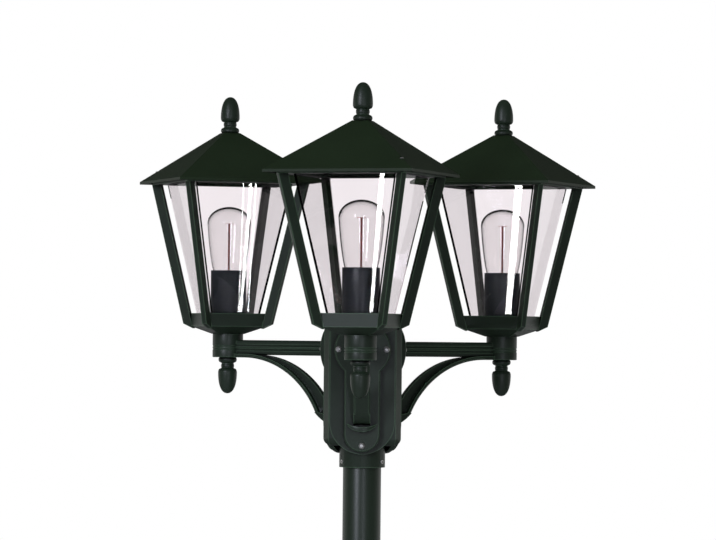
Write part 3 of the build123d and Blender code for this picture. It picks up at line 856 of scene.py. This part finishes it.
    def filament(self, side, body, wire):
        """Long wound coil up the mount, under a cross bar with turned ends."""
        node = f"bulb_filament_{side}"
        centre, low, high = upright_axis(node)
        box_low, box_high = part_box(node)
        reach = max(box_high.x - box_low.x, box_high.y - box_low.y) / 2 - 0.3 * MILLIMETRE
        coil_top = high - 1.2 * MILLIMETRE
        bar_level = high - 0.6 * MILLIMETRE
        steps = 12
        coil = []
        for step in range(COIL_TURNS * steps + 1):
            angle = 2 * math.pi * step / steps
            level = low + (coil_top - low) * step / (COIL_TURNS * steps)
            coil.append(
                centre + Vector((COIL_RADIUS * math.cos(angle), COIL_RADIUS * math.sin(angle), level))
            )
        bar = [
            centre + Vector((reach * share, 0.0, bar_level - (BAR_DROP if abs(share) == 1 else 0.0)))
            for share in (-1, -0.85, -0.4, 0, 0.4, 0.85, 1)
        ]
        builder = bmesh.new()
        wire_along(builder, coil, COIL_WIRE, segments=6)
        wire_along(builder, bar, BAR_WIRE, segments=8)
        keep_mesh(f"filament_wires_{side}", builder, wire, body, [node])


class LAMPPOST_OT_stage(bpy.types.Operator):
    """Set up the pale floor, soft lights and camera"""

    bl_idname = "lamppost.stage"
    bl_label = "Set Up Studio"

    def execute(self, context):
        studio = context.scene.lamppost_studio
        self.floor(studio)
        self.sky(context.scene, studio)
        camera = self.camera(context.scene, studio)
        self.lamp("front_softbox", (-2.3, -3.8, 3.1), LANTERN_LEVEL, (0.7, 1.2), studio.front_light)
        self.lamp("side_softbox", (0.9, -4.6, 2.0), LANTERN_LEVEL, (0.3, 2.6), studio.side_light)
        overhead = self.lamp("overhead_softbox", (0.0, 0.3, 5.2), GROUND, (3.4, 3.4), studio.top_light)
        overhead.visible_glossy = False
        self.strips(studio, camera)
        context.scene.view_settings.view_transform = "Standard"
        return {"FINISHED"}

    def floor(self, studio):
        """Pale floor, which the camera sees a little brighter than its light makes it."""
        builder = bmesh.new()
        bmesh.ops.create_grid(builder, x_segments=FLOOR_STEPS, y_segments=FLOOR_STEPS, size=FLOOR_SIZE)
        mesh = bpy.data.meshes.new("studio_floor")
        builder.to_mesh(mesh)
        builder.free()
        material, tree, shader = new_material("pale_floor")
        grain = noise(tree, object_coordinates(tree), scale=6.0, detail=4.0)
        tint = blend_colours(tree, between(tree, grain, FULL_RANGE), (0.86, 0.86, 0.85), (0.9, 0.9, 0.89))
        tree.links.new(tint, shader.inputs["Base Color"])
        shader.inputs["Roughness"].default_value = 0.8
        paths = tree.nodes.new("ShaderNodeLightPath")
        glow = remap(tree, paths.outputs["Is Camera Ray"], 0.0, 1.0, 0.0, studio.floor_glow)
        tree.links.new(glow, shader.inputs["Emission Strength"])
        shader.inputs["Emission Color"].default_value = (1.0, 1.0, 1.0, 1.0)
        mesh.materials.append(material)
        floor = bpy.data.objects.new("studio_floor", mesh)
        bpy.context.collection.objects.link(floor)

    def sky(self, scene, studio):
        """White backdrop behind the lamp post, with the studio in front of it and overhead kept dark."""
        world = bpy.data.worlds.new("studio_light")
        world.use_nodes = True
        tree = world.node_tree
        background = tree.nodes["Background"]
        direction = tree.nodes.new("ShaderNodeTexCoord").outputs["Generated"]
        split = tree.nodes.new("ShaderNodeSeparateXYZ")
        tree.links.new(direction, split.inputs["Vector"])
        depth = remap(tree, split.outputs["Y"], *BACKDROP_RANGE, studio.camera_side, studio.backdrop)
        height = remap(tree, split.outputs["Z"], *CEILING_RANGE, 1.0, studio.ceiling)
        mirrored = self.combine(tree, "MULTIPLY", depth, height)
        paths = tree.nodes.new("ShaderNodeLightPath").outputs
        inside = self.past_first(tree, paths["Transmission Depth"], studio.inside_glass)
        mirrored = self.combine(tree, "MULTIPLY", mirrored, inside)
        direct = self.past_first(tree, paths["Glossy Depth"], 0.0)
        seen = self.combine(tree, "MAXIMUM", direct, mirrored)
        fill = self.past_first(tree, paths["Diffuse Depth"], studio.ambient)
        tree.links.new(self.combine(tree, "MINIMUM", seen, fill), background.inputs["Strength"])
        background.inputs["Color"].default_value = (1.0, 1.0, 1.0, 1.0)
        scene.world = world

    def past_first(self, tree, depth, value):
        """One at a ray depth of zero, and a given value once the ray has met something."""
        return remap(tree, depth, 0.0, 1.0, 1.0, value)

    def combine(self, tree, operation, first, second):
        """Two values put together by one sum, product or limit."""
        node = tree.nodes.new("ShaderNodeMath")
        node.operation = operation
        tree.links.new(first, node.inputs[0])
        tree.links.new(second, node.inputs[1])
        return node.outputs["Value"]

    def camera(self, scene, studio):
        """Camera that sees the lamp post as the photograph does."""
        lens = bpy.data.cameras.new("photo_camera")
        lens.lens = studio.focal_length
        lens.sensor_width = SENSOR
        lens.clip_end = VIEW_LIMIT
        camera = bpy.data.objects.new("photo_camera", lens)
        camera.matrix_world = (
            Matrix.Translation(studio.camera_place)
            @ Matrix.Rotation(studio.camera_turn, 4, "Z")
            @ Matrix.Rotation(math.pi / 2 + studio.camera_pitch, 4, "X")
            @ Matrix.Rotation(studio.camera_roll, 4, "Z")
        )
        scene.collection.objects.link(camera)
        scene.camera = camera
        return camera

    def lamp(self, name, place, target, size, power):
        """Soft light that the camera doesn't see, turned to a target."""
        light = bpy.data.lights.new(name, "AREA")
        light.shape = "RECTANGLE"
        light.size, light.size_y = size
        light.energy = power
        light.color = COOL_LIGHT
        lamp = bpy.data.objects.new(name, light)
        lamp.location = place
        aim = Vector(target) - Vector(place)
        lamp.rotation_euler = aim.to_track_quat("-Z", "Y").to_euler()
        lamp.visible_camera = False
        bpy.context.collection.objects.link(lamp)
        return lamp

    def strips(self, studio, camera):
        """Thin strip lights low in front, which the sloping front panes mirror as upright streaks."""
        for number, (side, top, bottom, width, near, far) in enumerate(STREAKS):
            centre, outward = self.broad_pane(side, camera)
            ends = []
            for pixel, distance in ((top, near), (bottom, far)):
                ray = self.ray_through(camera, studio, pixel)
                start = Vector(studio.camera_place)
                hit = start + ray * ((centre - start).dot(outward) / ray.dot(outward))
                ends.append(hit + distance * (ray - 2 * ray.dot(outward) * outward))
            breadth = width * PIXEL_SPREAD / studio.focal_length * ((centre - start).length + near)
            strip = self.strip(f"strip_light_{number}", ends, centre, breadth, studio.strip_radiance)
            mirror = bpy.data.collections.new(f"mirror_{number}")
            mirror.objects.link(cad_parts[f"glass_panes_{side}"])
            strip.light_linking.receiver_collection = mirror

    def ray_through(self, camera, studio, pixel):
        """Direction from the camera through a place in the picture."""
        across = (pixel[0] - PICTURE[0] / 2) * PIXEL_SPREAD
        down = (pixel[1] - PICTURE[1] / 2) * PIXEL_SPREAD
        return (camera.matrix_world.to_3x3() @ Vector((across, -down, -studio.focal_length))).normalized()

    def broad_pane(self, side, camera):
        """Centre and outward direction of the pane that faces the camera most."""
        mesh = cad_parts[f"glass_panes_{side}"].data
        middle = upright_axis(f"glass_panes_{side}")[0]
        towards = camera.matrix_world.to_3x3() @ Vector((0.0, 0.0, 1.0))

        def facing(face):
            outside = (face.center - middle).to_2d().dot(face.normal.to_2d()) > 0.0
            return face.area * face.normal.dot(towards) if outside else 0.0

        pane = max(mesh.polygons, key=facing)
        return pane.center.copy(), pane.normal.copy()

    def strip(self, name, ends, target, breadth, radiance):
        """Long narrow light between two points, turned to face a target."""
        length = (ends[1] - ends[0]).length
        along = (ends[1] - ends[0]).normalized()
        middle = (ends[0] + ends[1]) / 2
        back = middle - target
        back = (back - along * back.dot(along)).normalized()
        light = bpy.data.lights.new(name, "AREA")
        light.shape = "RECTANGLE"
        light.size, light.size_y = breadth, length
        light.energy = radiance * math.pi * breadth * length
        strip = bpy.data.objects.new(name, light)
        turn = Matrix((along.cross(back), along, back)).transposed()
        strip.matrix_world = Matrix.Translation(middle) @ turn.to_4x4()
        strip.visible_camera = False
        strip.visible_transmission = False
        strip.visible_diffuse = False
        bpy.context.collection.objects.link(strip)
        return strip


class LAMPPOST_PT_panel(bpy.types.Panel):
    """Lists the steps that finish the lamp post"""

    bl_idname = "LAMPPOST_PT_panel"
    bl_label = "Lamp Post"
    bl_space_type = "VIEW_3D"
    bl_region_type = "UI"
    bl_category = "Lamp Post"

    def draw(self, context):
        layout = self.layout
        for operator in OPERATORS:
            layout.operator(operator.bl_idname)
        for settings in ("lamppost_finish", "lamppost_bulb", "lamppost_studio"):
            group = getattr(context.scene, settings)
            box = layout.box()
            for name in group.__annotations__:
                box.prop(group, name)


OPERATORS = (
    LAMPPOST_OT_castings,
    LAMPPOST_OT_post,
    LAMPPOST_OT_fasteners,
    LAMPPOST_OT_panes,
    LAMPPOST_OT_holders,
    LAMPPOST_OT_bulbs,
    LAMPPOST_OT_stage,
)
SETTINGS = {
    "lamppost_finish": LampPostFinish,
    "lamppost_bulb": LampPostBulb,
    "lamppost_studio": LampPostStudio,
}


def register():
    for group in SETTINGS.values():
        bpy.utils.register_class(group)
    for operator in OPERATORS:
        bpy.utils.register_class(operator)
    bpy.utils.register_class(LAMPPOST_PT_panel)
    for name, group in SETTINGS.items():
        setattr(bpy.types.Scene, name, PointerProperty(type=group))


def unregister():
    for name in SETTINGS:
        delattr(bpy.types.Scene, name)
    bpy.utils.unregister_class(LAMPPOST_PT_panel)
    for operator in reversed(OPERATORS):
        bpy.utils.unregister_class(operator)
    for group in reversed(list(SETTINGS.values())):
        bpy.utils.unregister_class(group)


def main():
    register()
    for operator in OPERATORS:
        group, name = operator.bl_idname.split(".")
        getattr(getattr(bpy.ops, group), name)()


if __name__ == "__main__":
    main()
